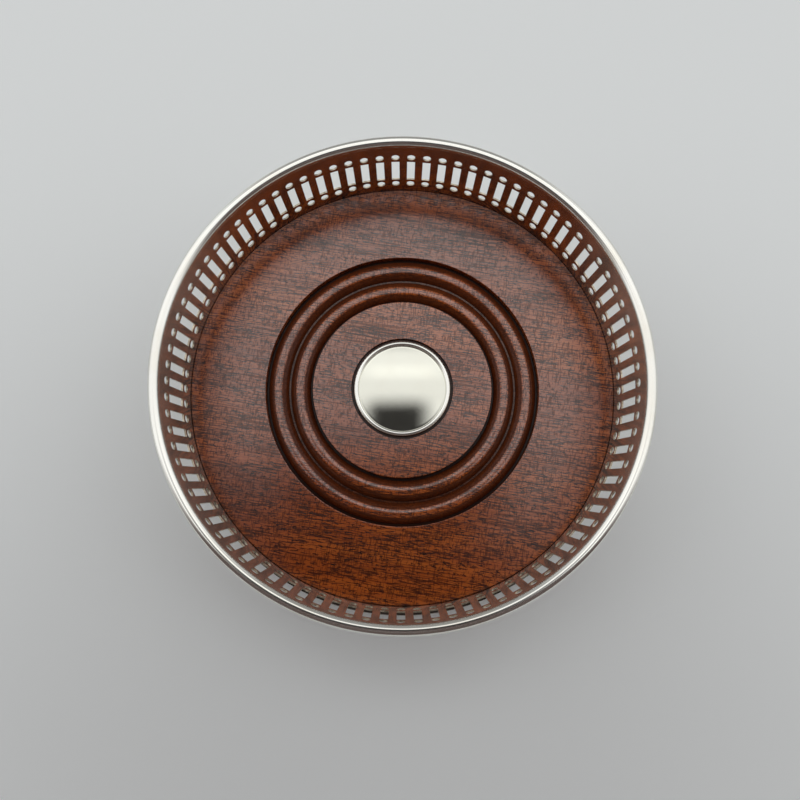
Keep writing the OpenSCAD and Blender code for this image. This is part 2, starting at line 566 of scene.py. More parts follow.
@dataclass(frozen=True)
class SawnSilverFinish:
    """Silver left from the piercing saw: dull and rough, darker and warmer than the polished silver, partly
    as painted shade inside the piercings.
    """

    name: str = "sawn_silver"
    # Darker and warmer than the polished silver, partly as painted shade inside the piercings.
    bright: Colour = (0.70, 0.62, 0.50, 1.0)
    dark: Colour = (0.34, 0.28, 0.21, 1.0)
    cloud: Noise = Noise((0.9, 0.9, 0.9), 3.0, 0.6)
    dark_span: Point = (0.36, 0.66)
    strokes: Noise = Noise((9.0, 9.0, 1.2))
    rough_span: Point = (0.3, 0.7)
    roughness: Point = (0.24, 0.40)
    mark_depth: float = 0.004

    def material(self) -> Material:
        """Makes the finish.

        Returns:
            The material.
        """
        material, nodes, shader = new_material(self.name)
        place = nodes.millimetres()
        dark = nodes.ease(nodes.noise(place, self.cloud), *self.dark_span)
        strokes = nodes.noise(place, self.strokes)
        look = {
            "Base Color": nodes.mix(dark, self.bright, self.dark),
            "Roughness": nodes.ease(strokes, *self.rough_span, *self.roughness),
            "Normal": nodes.bump(strokes, self.mark_depth),
            "Metallic": 1.0,
        }
        nodes.fill(shader, look)
        return material


@dataclass(frozen=True)
class Marks:
    """Dark marks of one shape in the wood, closer together in some patches."""

    mark: Noise
    crowd: Noise
    least: float
    share: float
    crowd_weight: float = 0.28
    soft: float = 0.07

    def cover(self, nodes: Nodes, grain: Socket) -> Socket:
        """Finds the marks.

        Args:
            nodes: The material's nodes.
            grain: Coordinates along the grain.

        Returns:
            1 in a mark and 0 elsewhere.
        """
        crowd = nodes.times(nodes.noise(grain, self.crowd), self.crowd_weight)
        height = nodes.plus(nodes.noise(grain, self.mark), crowd)
        return nodes.ease(height, self.least, self.least + self.soft)


@dataclass(frozen=True)
class MahoganyFinish:
    """Lacquered mahogany: streaks, open pores along the grain and ripple marks across it, with painted shade
    on the beads' flanks, in the grooves, at the joint with the wall, round the recess and towards the wall.
    """

    ring_rs: Point
    valley_r: float
    crest_z: float
    groove_z: float
    recess_r: float
    field_r: float
    name: str = "lacquered_mahogany"
    grain_deg: float = 9.0
    light: Colour = (0.462, 0.103, 0.0112, 1.0)
    middle: Colour = (0.345, 0.067, 0.0079, 1.0)
    deep: Colour = (0.208, 0.0375, 0.0047, 1.0)
    dash: Colour = (0.050, 0.0125, 0.0055, 1.0)
    pore: Colour = (0.012, 0.0055, 0.0035, 1.0)
    # Painted shade on the beads' flanks and round the recess.
    flank: Colour = (0.070, 0.0175, 0.0070, 1.0)
    # Painted shade in the grooves, at the joint with the wall and round the recess.
    crease_shade: Colour = (0.024, 0.0095, 0.0060, 1.0)
    tones: tuple[tuple[Noise, float], ...] = (
        (Noise((0.012, 0.055, 0.055), 3.0, 0.5, 0.4), 0.50),
        (Noise((0.035, 0.75, 0.75), 4.0, 0.6), 0.33),
        (Noise((0.45, 4.5, 4.5), 2.0, 0.6), 0.27),
    )
    middle_span: Point = (0.40, 0.54)
    light_span: Point = (0.52, 0.66)
    streaks: Marks = Marks(Noise((0.040, 3.0, 3.0), 1.0), Noise((0.03, 0.10, 0.10)), least=0.685, share=0.62)
    dashes: Marks = Marks(Noise((0.36, 3.6, 3.6), 1.0), Noise((0.04, 0.22, 0.22)), least=0.67, share=0.90)
    ticks: Marks = Marks(Noise((3.2, 0.60, 0.60), 1.0), Noise((0.05, 0.14, 0.14)), least=0.67, share=0.60)
    pores: Marks = Marks(Noise((0.90, 2.5, 2.5), 1.0), Noise((0.03, 0.20, 0.20)), least=0.77, share=0.80)
    roughness: Point = (0.40, 0.70)
    pore_depth: float = 0.05
    pore_bump: float = 0.6
    dash_depth_share: float = 0.6
    flank_share: float = 0.85
    bare_share: float = 0.42
    skin: Noise = Noise((0.35, 0.35, 0.35))
    skin_share: float = 0.1
    lacquer_depth: float = 0.0015
    lacquer_roughness: float = 0.17
    lacquer_ior: float = 2.12
    # How much of the lacquer the painted shade takes away.
    shade_lacquer_cut: float = 0.88
    ring_soft: float = 0.05
    valley_offs: Point = (0.18, 0.36)
    valley_share: float = 0.72
    # Where the painted shade falls: the beads' flanks, the grooves, the joint with the wall and the recess.
    flank_drops: Point = (0.03, 0.30)
    groove_rises: Point = (0.22, 0.04)
    joint_w: float = 0.2
    joint_share: float = 0.3
    recess_offs: Point = (0.07, -0.03)
    recess_share: float = 0.9
    # Painted shade towards the wall, as thinner lacquer with less sheen.
    dull_rs: Point = (45.0, 57.0)
    dull_share: float = 0.58

    def material(self) -> Material:
        """Makes the finish.

        Returns:
            The material.
        """
        material, nodes, shader = new_material(self.name)
        grain = nodes.millimetres(self.grain_deg)
        kinds = (self.streaks, self.dashes, self.ticks, self.pores)
        streaks, dashes, ticks, pores = (marks.cover(nodes, grain) for marks in kinds)
        # Masks of painted shade: the first darkens the wood and thins its lacquer, the second darkens the
        # creases.
        wear_and_painted_shade, crease_shade = self.rings(nodes)
        layers = (
            (nodes.times(ticks, self.ticks.share), self.dash),
            (nodes.times(streaks, self.streaks.share), self.dash),
            (nodes.times(dashes, self.dashes.share), self.dash),
            (nodes.times(pores, self.pores.share), self.pore),
            # Painted shade on the beads' flanks and round the recess, then in the creases.
            (nodes.ease(wear_and_painted_shade, self.dull_share, 1.0, 0.0, self.flank_share), self.flank),
            (crease_shade, self.crease_shade),
        )
        colour = self.ground(nodes, grain)
        for cover, tint in layers:
            colour = nodes.mix(cover, colour, tint)
        sunk = nodes.most(pores, nodes.times(dashes, self.dash_depth_share))
        hollow = nodes.minus(1.0, sunk)
        wavy = nodes.plus(hollow, nodes.times(nodes.noise(grain, self.skin), self.skin_share))
        # The painted shade thins the lacquer.
        kept = nodes.minus(1.0, nodes.times(wear_and_painted_shade, self.shade_lacquer_cut))
        sealed = nodes.minus(1.0, nodes.times(nodes.most(sunk, streaks, ticks), self.bare_share))
        look = {
            "Base Color": colour,
            "Roughness": nodes.ease(pores, 0.0, 1.0, *self.roughness),
            "Normal": nodes.bump(hollow, self.pore_depth, self.pore_bump),
            "Specular IOR Level": 0.0,
            "Coat Weight": nodes.times(kept, sealed),
            "Coat Roughness": self.lacquer_roughness,
            "Coat IOR": self.lacquer_ior,
            "Coat Normal": nodes.bump(wavy, self.lacquer_depth),
        }
        nodes.fill(shader, look)
        return material

    def rings(self, nodes: Nodes) -> tuple[Socket, Socket]:
        """Finds the painted shade: on the beads' flanks, round the recess and, as thinner lacquer, towards
        the wall; and in the grooves, at the joint with the wall and round the recess.

        Args:
            nodes: The material's nodes.

        Returns:
            How far the painted shade darkens the wood and thins its lacquer, and how far the painted shade
            darkens the creases.
        """
        r, z = nodes.turned()
        inner, outer = self.ring_rs
        within = nodes.times(
            nodes.ease(r, inner - self.ring_soft, inner + self.ring_soft),
            nodes.ease(r, outer + self.ring_soft, outer - self.ring_soft),
            nodes.ease(nodes.apart(r, self.valley_r), *self.valley_offs, self.valley_share, 1.0),
        )
        # Painted shade on the beads' flanks and in the grooves.
        flank = nodes.ease(z, *(self.crest_z - drop for drop in self.flank_drops))
        groove = nodes.ease(z, *(self.groove_z + rise for rise in self.groove_rises))
        # Painted shade at the joint with the wall and round the recess.
        joint = nodes.ease(r, self.field_r - self.joint_w, self.field_r, 0.0, self.joint_share)
        recess_rs = (self.recess_r + off for off in self.recess_offs)
        recess = nodes.ease(r, *recess_rs, 0.0, self.recess_share)
        # Painted shade towards the wall, as thinner lacquer.
        dull = nodes.ease(r, *self.dull_rs, 0.0, self.dull_share)
        wear_and_painted_shade = nodes.most(nodes.times(within, flank), dull, recess)
        return wear_and_painted_shade, nodes.most(nodes.times(within, groove), joint, recess)

    def ground(self, nodes: Nodes, grain: Socket) -> Socket:
        """Finds the colour of the wood between its marks.

        Args:
            nodes: The material's nodes.
            grain: Coordinates along the grain.

        Returns:
            The colour.
        """
        tone = nodes.plus(*(nodes.times(nodes.noise(grain, noise), weight) for noise, weight in self.tones))
        dark = nodes.mix(nodes.ease(tone, *self.middle_span), self.deep, self.middle)
        return nodes.mix(nodes.ease(tone, *self.light_span), dark, self.light)


@dataclass(frozen=True)
class BrassFinish:
    """Plain turned brass, dulled by handling."""

    name: str = "dull_brass"
    bright: Colour = (0.72, 0.52, 0.22, 1.0)
    dull: Colour = (0.40, 0.27, 0.11, 1.0)
    cloud: Noise = Noise((0.5, 0.5, 0.5), 4.0, 0.6)
    dull_span: Point = (0.42, 0.68)
    rough_span: Point = (0.35, 0.70)
    roughness: Point = (0.22, 0.42)
    turning: Noise = Noise((0.6, 0.6, 9.0))
    mark_depth: float = 0.004

    def material(self) -> Material:
        """Makes the finish.

        Returns:
            The material.
        """
        material, nodes, shader = new_material(self.name)
        place = nodes.millimetres()
        cloud = nodes.noise(place, self.cloud)
        look = {
            "Base Color": nodes.mix(nodes.ease(cloud, *self.dull_span), self.bright, self.dull),
            "Roughness": nodes.ease(cloud, *self.rough_span, *self.roughness),
            "Normal": nodes.bump(nodes.noise(place, self.turning), self.mark_depth),
            "Metallic": 1.0,
        }
        nodes.fill(shader, look)
        return material


@dataclass(frozen=True)
class BaizeFinish:
    """Green baize: a felted wool cloth with a short nap."""

    name: str = "green_baize"
    light: Colour = (0.045, 0.190, 0.085, 1.0)
    dark: Colour = (0.015, 0.085, 0.038, 1.0)
    nap: Noise = Noise((3.2, 3.2, 3.2), 4.0, 0.7, 0.8)
    nap_share: float = 0.7
    nap_depth: float = 0.12
    wear: Noise = Noise((0.07, 0.07, 0.07), 3.0)
    wear_share: float = 0.4
    light_span: Point = (0.42, 0.70)
    rough_span: Point = (0.3, 0.7)
    roughness: Point = (0.85, 1.0)
    specular: float = 0.2
    sheen: float = 0.6
    sheen_roughness: float = 0.5

    def material(self) -> Material:
        """Makes the finish.

        Returns:
            The material.
        """
        material, nodes, shader = new_material(self.name)
        place = nodes.millimetres()
        nap = nodes.noise(place, self.nap)
        wear = nodes.noise(place, self.wear)
        tone = nodes.plus(nodes.times(nap, self.nap_share), nodes.times(wear, self.wear_share))
        look = {
            "Base Color": nodes.mix(nodes.ease(tone, *self.light_span), self.dark, self.light),
            "Roughness": nodes.ease(nap, *self.rough_span, *self.roughness),
            "Normal": nodes.bump(nap, self.nap_depth),
            "Specular IOR Level": self.specular,
            "Sheen Weight": self.sheen,
            "Sheen Roughness": self.sheen_roughness,
        }
        nodes.fill(shader, look)
        return material


class Finishes:
    """The finishes that take no size from a piece, each made once."""

    def __init__(self) -> None:
        """Makes the materials."""
        self.silver = SilverFinish().material()
        self.satin = SATIN_SILVER.material()
        self.rim = RIM_SILVER.material()
        self.wear_and_painted_shade = WORN_SILVER.material()
        self.sawn = SawnSilverFinish().material()
        self.brass = BrassFinish().material()
        self.baize = BaizeFinish().material()


# Sub-assemblies


def dress(obj: Piece, slot: Slot, *nodes: str) -> Piece:
    """Sets a finished piece on the frame in the place of CAD nodes.

    Args:
        obj: The piece.
        slot: The record's slot of its finish; not used.
        nodes: The CAD nodes that it stands for.

    Returns:
        The piece.
    """
    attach(obj, BODY)
    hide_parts(*nodes)
    lows, highs = zip(*(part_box(node) for node in nodes))
    grown = max(
        max(min(low[i] for low in lows) - min(v.co[i] for v in obj.data.vertices) for i in range(3)),
        max(max(v.co[i] for v in obj.data.vertices) - max(high[i] for high in highs) for i in range(3)),
    )
    LOG.info("%s: %d faces, %.2f mm outside its solid's box", obj.name, len(obj.data.polygons), grown / MM)
    return obj


@dataclass(frozen=True)
class Wall:
    """The flared cone that the gallery is rolled to."""

    well_r: float = 60.0
    field_z: float = 9.0
    shoulder_z: float = 3.0
    seat_z: float = 29.8
    flare_deg: float = 8.0
    sheet_t: float = 0.45

    @property
    def across(self) -> float:
        """Thickness of the sheet measured level."""
        return self.sheet_t / math.cos(math.radians(self.flare_deg))

    def inner_r(self, z: float) -> float:
        """Inner radius of the wall at a height."""
        return self.well_r + (z - self.field_z) * math.tan(math.radians(self.flare_deg))


@dataclass
class Gallery:
    """The pierced silver gallery: one pierced cell, set round the axis."""

    wall: Wall
    count: int = 89
    start_deg: float = -1.3
    slot_w: float = 2.2
    slot_h: float = 8.3
    slot_z: float = 18.5
    dot_d: float = 2.2
    dot_zs: Point = (12.4, 24.6)
    dot_panel_h: float = 3.05
    edge: float = 0.025
    across_steps: int = 6
    slot_steps: int = 2
    dot_steps: int = 6
    low_band_steps: int = 2
    high_band_steps: int = 1

    def build(self, finishes: Finishes, array: RingArray) -> Piece:
        """Makes the gallery.

        Args:
            finishes: The coaster's finishes.
            array: The tree that sets the cell round the axis.

        Returns:
            The gallery.
        """
        obj = mesh_object("silver_gallery", self.cell(), finishes.satin)
        array.apply(obj, self.count, self.start_deg, finishes.satin, finishes.sawn)
        return dress(obj, Slot.SILVER, "gallery")

    @property
    def half_turn(self) -> float:
        """Half the turn from one piercing to the next."""
        return math.pi / self.count

    def cell(self) -> Mesh:
        """Makes one cell of the wall, with a slot between two round holes.

        Returns:
            The mesh, in millimetres, open where the next cells join it.
        """
        bm = bmesh.new()
        bm.faces.layers.bool.new(SAWN)
        low_dot, high_dot = self.dot_zs
        half = self.dot_panel_h / 2
        self.band(bm, self.wall.shoulder_z, low_dot - half, self.low_band_steps)
        self.pierced(bm, low_dot - half, low_dot + half, self.dot_steps, partial(self.dot_hole, low_dot))
        self.pierced(bm, low_dot + half, high_dot - half, self.slot_steps, self.slot_hole)
        self.pierced(bm, high_dot - half, high_dot + half, self.dot_steps, partial(self.dot_hole, high_dot))
        self.band(bm, high_dot + half, self.wall.seat_z, self.high_band_steps)
        self.end(bm, self.wall.shoulder_z)
        self.end(bm, self.wall.seat_z)
        return bm

    def vertex(self, bm: Mesh, z: float, depth: float, turn: float) -> Vertex:
        """Adds a point of the wall at a depth of 0 on the inner face to 1 on the outer one."""
        r = self.wall.inner_r(z) + depth * self.wall.across
        return bm.verts.new((r * math.cos(turn), r * math.sin(turn), z))

    def row(self, bm: Mesh, z: float, depth: float) -> list[Vertex]:
        """Adds a level row of points across the cell, at a depth in the wall."""
        steps = self.across_steps
        return [self.vertex(bm, z, depth, self.half_turn * (2 * k / steps - 1)) for k in range(steps + 1)]

    def band(self, bm: Mesh, low: float, high: float, steps: int) -> None:
        """Adds both faces of a plain band between two heights.

        Args:
            bm: The mesh that gets them.
            low: Lower height.
            high: Upper height.
            steps: Number of rows.
        """
        for depth in (0.0, 1.0):
            rows = [self.row(bm, low + (high - low) * k / steps, depth) for k in range(steps + 1)]
            for under, over in zip(rows, rows[1:]):
                self.strip(bm, under, over)

    def end(self, bm: Mesh, z: float) -> None:
        """Closes the wall between its faces at an end."""
        self.strip(bm, self.row(bm, z, 0.0), self.row(bm, z, 1.0))

    def strip(self, bm: Mesh, first: Sequence[Vertex], second: Sequence[Vertex]) -> None:
        """Fills between two open rows of the same count."""
        for k in range(len(first) - 1):
            bm.faces.new((first[k], first[k + 1], second[k + 1], second[k]))

    def pierced(self, bm: Mesh, low: float, high: float, upright_steps: int, hole: Hole) -> None:
        """Adds both faces of a panel with a hole, and the hole's wall with its softened edges.

        Args:
            bm: The mesh that gets them.
            low: Lower height of the panel.
            high: Upper height of the panel.
            upright_steps: Number of steps up each side.
            hole: Gives the hole's outline at a place round the panel, grown by a margin.
        """
        places = list(self.round_panel(upright_steps))
        heights = [low + (high - low) * (v + 1) / 2 for _, v in places]
        soft = self.edge / self.wall.sheet_t
        rings = [
            [self.vertex(bm, z, 0.0, u * self.half_turn) for (u, _), z in zip(places, heights)],
            self.hole_ring(bm, places, hole, self.edge, 0.0),
            self.hole_ring(bm, places, hole, 0.0, soft),
            self.hole_ring(bm, places, hole, 0.0, 1.0 - soft),
            self.hole_ring(bm, places, hole, self.edge, 1.0),
            [self.vertex(bm, z, 1.0, u * self.half_turn) for (u, _), z in zip(places, heights)],
        ]
        sawn = bm.faces.layers.bool.get(SAWN)
        for k, (outer, inner) in enumerate(zip(rings, rings[1:])):
            for face in join_rings(bm, outer, inner):
                face[sawn] = 0 < k < len(rings) - 2

    def round_panel(self, upright_steps: int) -> Iterable[Point]:
        """Gives places round a square from -1 to 1, from its lower left corner.

        Args:
            upright_steps: Number of steps up each side.

        Returns:
            Each place, across and up.
        """
        across = self.across_steps
        yield from ((2 * k / across - 1, -1.0) for k in range(across))
        yield from ((1.0, 2 * k / upright_steps - 1) for k in range(upright_steps))
        yield from ((1 - 2 * k / across, 1.0) for k in range(across))
        yield from ((-1.0, 1 - 2 * k / upright_steps) for k in range(upright_steps))

    def hole_ring(
        self, bm: Mesh, places: Sequence[Point], hole: Hole, margin: float, depth: float
    ) -> list[Vertex]:
        """Adds a ring of points on a hole's outline.

        Args:
            bm: The mesh that gets them.
            places: Places round the panel.
            hole: The hole's outline.
            margin: How far the outline is grown.
            depth: 0 on the inner face and 1 on the outer one.

        Returns:
            The points.
        """
        ring = []
        for u, v in places:
            x, z = hole(u, v, margin)
            r = self.wall.inner_r(z) + depth * self.wall.across
            ring.append(self.vertex(bm, z, depth, x / r))
        return ring

    def slot_hole(self, u: float, v: float, margin: float) -> Point:
        """Outline of the slot at a place round its panel, across and up."""
        return u * (self.slot_w / 2 + margin), self.slot_z + v * (self.slot_h / 2 + margin)

    def dot_hole(self, z: float, u: float, v: float, margin: float) -> Point:
        """Gives the outline of a round hole at a place round its panel.

        Args:
            z: Height of the hole's middle.
            u: The place across the panel.
            v: The place up the panel.
            margin: How far the outline is grown.

        Returns:
            A point of the outline, across and up.
        """
        lean = math.cos(math.radians(self.wall.flare_deg))
        turn = math.atan2(v, u)
        radius = self.dot_d / 2 + margin
        return radius * math.cos(turn), z + radius * math.sin(turn) * lean


@dataclass
class RimWire:
    """The round wire soldered on the gallery's top edge."""

    wall: Wall
    wire_d: float = 3.0
    flat_w: float = 1.9
    out: float = 0.3
    section_steps: int = 40
    segments: int = 320

    def build(self, finishes: Finishes) -> Piece:
        """Makes the rim.

        Args:
            finishes: The coaster's finishes.

        Returns:
            The rim.
        """
        radius = self.wire_d / 2
        seat = self.wall.seat_z
        drop = math.sqrt(radius**2 - (self.flat_w / 2) ** 2)
        centre = (self.wall.inner_r(seat) + self.wall.across / 2 + self.out, seat + drop)
        low_deg = math.degrees(math.asin(drop / radius))
        profile = rounded(arc(centre, radius, -low_deg, 180 + low_deg, self.section_steps))
        obj = mesh_object("silver_rim", lathe(profile, self.segments), finishes.rim)
        return dress(obj, Slot.SILVER, "rim_wire")


@dataclass
class FootRing:
    """The flat silver foot under the gallery, with a fine bevel on its upper edge and a rounded lower one."""

    wall: Wall
    reach: float = 3.65
    ledge: float = 2.4
    lift: float = 0.6
    edge: float = 0.3
    bevel: Point = (0.15, 0.30)
    arris: float = 0.08
    edge_steps: int = 6
    segments: int = 320

    @property
    def bore_r(self) -> float:
        """Radius of the foot's bore."""
        return self.wall.inner_r(self.wall.shoulder_z) - self.ledge

    def build(self) -> Piece:
        """Makes the foot.

        Returns:
            The foot.
        """
        top = self.wall.shoulder_z
        outer = self.wall.inner_r(top) + self.wall.across + self.reach
        flat_r = outer - self.bevel[0]
        section = [
            Corner(self.bore_r, self.lift, self.arris),
            Corner(outer, self.lift, self.edge),
            Corner(outer, top - self.bevel[1], self.arris),
            Corner(flat_r, top, self.arris),
            Corner(self.bore_r, top, self.arris),
        ]
        bm = lathe(rounded(section, self.edge_steps), self.segments)
        obj = mesh_object("silver_foot", bm, FootFinish(flat_z=top, flat_r=flat_r).material())
        return dress(obj, Slot.SILVER, "foot_ring")


@dataclass
class TurnedBase:
    """The turned mahogany base: a flat field, two beaded rings and a recess for the boss."""

    wall: Wall
    under_z: float = 1.0
    spigot_r: float = 56.657
    fit: float = 0.06
    bevel: float = 0.12
    inner_field_r: float = 25.4
    ring_depth: float = 2.0
    quirk_w: float = 0.7
    bead_w: float = 5.75
    valley_w: float = 0.5
    crest_drop: float = 0.1
    recess_r: float = 14.45
    recess_z: float = 8.1
    stud_hole_r: float = 2.2
    pocket_r: float = 6.0
    pocket_z: float = 4.6
    arris: float = 0.08
    ring_arris: float = 0.18
    bead_steps: int = 24
    segments: int = 288

    @property
    def ring_out_r(self) -> float:
        """Outer radius of the beaded rings."""
        return self.inner_field_r + 2 * self.quirk_w + 2 * self.bead_w + self.valley_w

    @property
    def groove_z(self) -> float:
        """Height of the grooves beside the beads."""
        return self.wall.field_z - self.ring_depth

    @property
    def edge_z(self) -> float:
        """Height at which the edge turns into its bevel."""
        return self.wall.field_z - self.bevel

    @property
    def edge_r(self) -> float:
        """Radius of the edge where its bevel begins."""
        return self.wall.inner_r(self.edge_z) - self.fit

    def build(self) -> Piece:
        """Makes the base.

        Returns:
            The base.
        """
        bm = lathe(rounded(self.profile()), self.segments)
        obj = mesh_object("mahogany_base", bm, self.finish().material())
        return dress(obj, Slot.MAHOGANY, "base")

    def finish(self) -> MahoganyFinish:
        """Fits the wood's finish to the base.

        Returns:
            The finish.
        """
        return MahoganyFinish(
            ring_rs=(self.inner_field_r, self.ring_out_r),
            valley_r=(self.inner_field_r + self.ring_out_r) / 2,
            crest_z=self.wall.field_z - self.crest_drop,
            groove_z=self.groove_z,
            recess_r=self.recess_r,
            field_r=self.edge_r - self.bevel,
        )

    def profile(self) -> list[Corner]:
        """Gives the turned profile, from the underside round the edge to the recess and the pocket.

        Returns:
            Its corners.
        """
        top, soft = self.wall.field_z, self.arris
        shoulder = self.wall.shoulder_z
        ring_out, floor = self.ring_out_r, self.groove_z
        return [
            Corner(self.pocket_r, self.under_z),
            Corner(self.spigot_r, self.under_z, soft),
            Corner(self.spigot_r, shoulder),
            Corner(self.wall.inner_r(shoulder) - self.fit, shoulder, soft),
            Corner(self.edge_r, self.edge_z, soft),
            Corner(self.edge_r - self.bevel, top, soft),
            Corner(ring_out, top, self.ring_arris),
            Corner(ring_out, floor),
            *self.bead(ring_out - self.quirk_w - self.bead_w / 2, floor),
            *self.bead(self.inner_field_r + self.quirk_w + self.bead_w / 2, floor),
            Corner(self.inner_field_r, floor),
            Corner(self.inner_field_r, top, self.ring_arris),
            Corner(self.recess_r, top, soft),
            Corner(self.recess_r, self.recess_z),
            Corner(self.stud_hole_r, self.recess_z),
            Corner(self.stud_hole_r, self.pocket_z),
            Corner(self.pocket_r, self.pocket_z),
        ]

    def bead(self, middle: float, floor: float) -> list[Corner]:
        """Gives a bead's arc, from its outer foot to its inner one.

        Args:
            middle: Radius of its crest.
            floor: Height of its feet.

        Returns:
            The points.
        """
        rise = self.ring_depth - self.crest_drop
        radius = arc_radius(self.bead_w, rise)
        foot_deg = math.degrees(math.asin((radius - rise) / radius))
        return arc((middle, floor + rise - radius), radius, foot_deg, 180 - foot_deg, self.bead_steps)


@dataclass
class Boss:
    """The domed silver boss in the middle, with its half-round border wire and brass fixing."""

    base: TurnedBase
    boss_r: float = 13.7
    plate_t: float = 0.7
    dome_rise: float = 1.2
    arris: float = 0.1
    border_w: float = 1.4
    border_h: float = 0.9
    border_gap: float = 0.15
    dome_steps: int = 24
    border_steps: int = 24
    segments: int = 160

    @property
    def flange_z(self) -> float:
        """Height of the flange that carries the border."""
        return self.base.recess_z + self.plate_t

    def build(self, finishes: Finishes, nodes: dict[str, Piece]) -> list[Piece]:
        """Makes the plate and its border and dresses the fixing.

        Args:
            finishes: The coaster's finishes.
            nodes: The CAD nodes by name.

        Returns:
            The plate, the border and the three pieces of the fixing.
        """
        plate = lathe(rounded(self.plate_profile()), self.segments, closed=False)
        border = lathe(rounded(self.border_profile()), self.segments)
        fixing = [nodes[name] for name in ("boss_stud", "boss_washer", "boss_nut")]
        for obj in fixing:
            obj.data.materials.clear()
            obj.data.materials.append(finishes.brass)
            LOG.info("%s: the CAD node, in brass", obj.name)
        return [
            dress(mesh_object("silver_boss", plate, finishes.wear_and_painted_shade), Slot.SILVER, "boss_plate"),
            dress(mesh_object("silver_boss_border", border, finishes.silver), Slot.SILVER, "boss_bezel"),
            *fixing,
        ]

    def plate_profile(self) -> list[Corner]:
        """Gives the plate's profile, from its crest over the flange to the middle of its hollow.

        Returns:
            Its corners, with a pole at each end.
        """
        dome_r = self.boss_r - self.border_w - self.border_gap
        radius = arc_radius(2 * dome_r, self.dome_rise)
        centre = (0.0, self.flange_z + self.dome_rise - radius)
        hollow = radius - self.plate_t
        rim_deg = math.degrees(math.acos(dome_r / radius))
        hollow_deg = math.degrees(math.asin((self.base.recess_z - centre[1]) / hollow))
        return [
            *arc(centre, radius, 90, rim_deg, self.dome_steps),
            Corner(self.boss_r, self.flange_z, self.arris),
            Corner(self.boss_r, self.base.recess_z),
            *arc(centre, hollow, hollow_deg, 90, self.dome_steps),
        ]

    def border_profile(self) -> list[Corner]:
        """Gives the border wire's half-round profile on the flange.

        Returns:
            Its points.
        """
        radius = arc_radius(self.border_w, self.border_h)
        centre = (self.boss_r - self.border_w / 2, self.flange_z + self.border_h - radius)
        foot_deg = math.degrees(math.asin((radius - self.border_h) / radius))
        return arc(centre, radius, foot_deg, 180 - foot_deg, self.border_steps)


@dataclass
class GalleryPins:
    """The domed silver pins that hold the gallery to the base."""

    wall: Wall
    count: int = 6
    pin_z: float = 6.0
    pin_d: float = 1.2
    pin_l: float = 6.0
    head_d: float = 2.2
    head_h: float = 0.5
    head_steps: int = 8
    segments: int = 32

    def build(self, finishes: Finishes, array: RingArray) -> Piece:
        """Makes the pins.

        Args:
            finishes: The coaster's finishes.
            array: The tree that sets the pin round the axis.

        Returns:
            The pins.
        """
        under = self.wall.sheet_t / 2
        radius = arc_radius(self.head_d, self.head_h)
        rim_deg = math.degrees(math.acos(self.head_d / 2 / radius))
        head = arc((0.0, under + self.head_h - radius), radius, 90, rim_deg, self.head_steps)
        shank_r = self.pin_d / 2
        shank = [Corner(shank_r, under), Corner(shank_r, -self.pin_l), Corner(0.0, -self.pin_l)]
        bm = lathe(rounded([*head, *shank]), self.segments, closed=False)
        middle = self.wall.inner_r(self.pin_z) + self.wall.across / 2
        lean = Matrix.Rotation(math.radians(90 + self.wall.flare_deg), 4, "Y")
        place = Matrix.Translation((middle, 0.0, self.pin_z))
        bmesh.ops.transform(bm, matrix=place @ lean, verts=bm.verts)
        obj = mesh_object("silver_pins", bm, finishes.silver)
        array.apply(obj, self.count, 0.0, finishes.silver)
        return dress(obj, Slot.SILVER, "gallery_pins")


@dataclass
class BaizePad:
    """The disc of green baize glued under the base."""

    foot: FootRing
    gap: float = 0.4
    cloth_t: float = 1.0
    edge: float = 0.3
    nap_wave: float = 0.07
    wave_shares: Triple = (0.5, 0.3, 0.2)
    slow_per_mm: Point = (0.21, 0.17)
    slow_starts: Point = (0.9, -0.4)
    quick_x_per_mm: Point = (0.83, 0.28)
    quick_y_per_mm: Point = (-0.35, 0.71)
    rings: int = 40
    segments: int = 192

    @property
    def disc_r(self) -> float:
        """Radius that the cloth is cut to."""
        return self.foot.bore_r - self.gap

    def build(self, finishes: Finishes) -> Piece:
        """Makes the pad.

        Args:
            finishes: The coaster's finishes.

        Returns:
            The pad.
        """
        rim = [Corner(self.disc_r, z, self.edge) for z in (0.0, self.cloth_t)]
        edge = rounded([Corner(0.0, 0.0), *rim])
        face = [(self.disc_r * k / self.rings, 0.0) for k in range(self.rings)]
        bm = lathe([*face, *edge[1:], (0.0, self.cloth_t)], self.segments, closed=False)
        for vertex in bm.verts:
            if vertex.co.z == 0.0:
                vertex.co.z += self.wave(vertex.co.x, vertex.co.y)
        obj = mesh_object("green_baize_pad", bm, finishes.baize)
        dress(obj, Slot.BAIZE, "baize_pad")
        width = 2 * self.disc_r * MM
        area = math.pi * (self.disc_r * MM) ** 2
        return obj

    def wave(self, x: float, y: float) -> float:
        """Gives the height of the worn nap at a place of the underside.

        Args:
            x: The place along X.
            y: The place along Y.

        Returns:
            The height.
        """
        slow_x, slow_y = (
            per_mm * at + start for per_mm, at, start in zip(self.slow_per_mm, (x, y), self.slow_starts)
        )
        first, second = (a * x + b * y for a, b in zip(self.quick_x_per_mm, self.quick_y_per_mm))
        level, slow, quick = self.wave_shares
        swell = slow * math.sin(slow_x) * math.cos(slow_y) + quick * math.sin(first) * math.cos(second)
        return self.nap_wave * (level + swell)


# Studio


